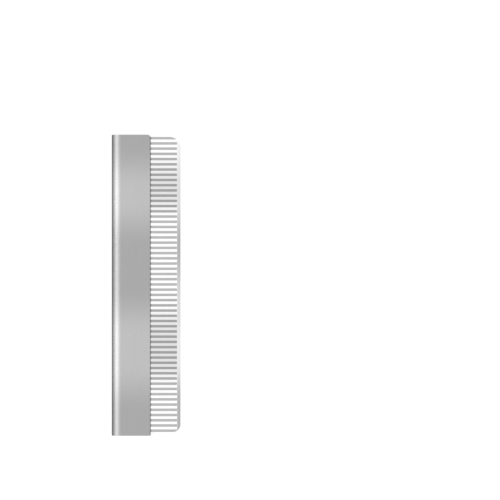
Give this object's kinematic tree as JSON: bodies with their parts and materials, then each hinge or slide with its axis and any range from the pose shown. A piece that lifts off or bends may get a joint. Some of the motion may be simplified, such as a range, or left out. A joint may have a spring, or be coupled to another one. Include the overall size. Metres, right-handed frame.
{
  "type": "eyebrow razor",
  "caption": "Handle-less eyebrow razor: a folded satin steel spine clamps a thin ground blade between fine guard combs that let hair reach the edge and hold skin off it.",
  "frame": {"origin": "centre of the razor's box, at the rear face it lies on", "axes": "+X from the folded back towards the cutting edge, +Y along the edge towards the end of the spine with the rounded mouth corners, +Z out of the front face"},
  "size_m": [0.0098, 0.0432, 0.0012],
  "materials": {
    "spine_steel": "satin, grained along its length",
    "blade_steel": "polished, with a fine ground bevel along the edge",
    "comb_steel": "satin"
  },
  "bodies": {
    "root": {"spine": "spine_steel", "blade": "blade_steel", "front_guard_comb": "comb_steel", "rear_guard_comb": "comb_steel"}
  },
  "joints": []
}
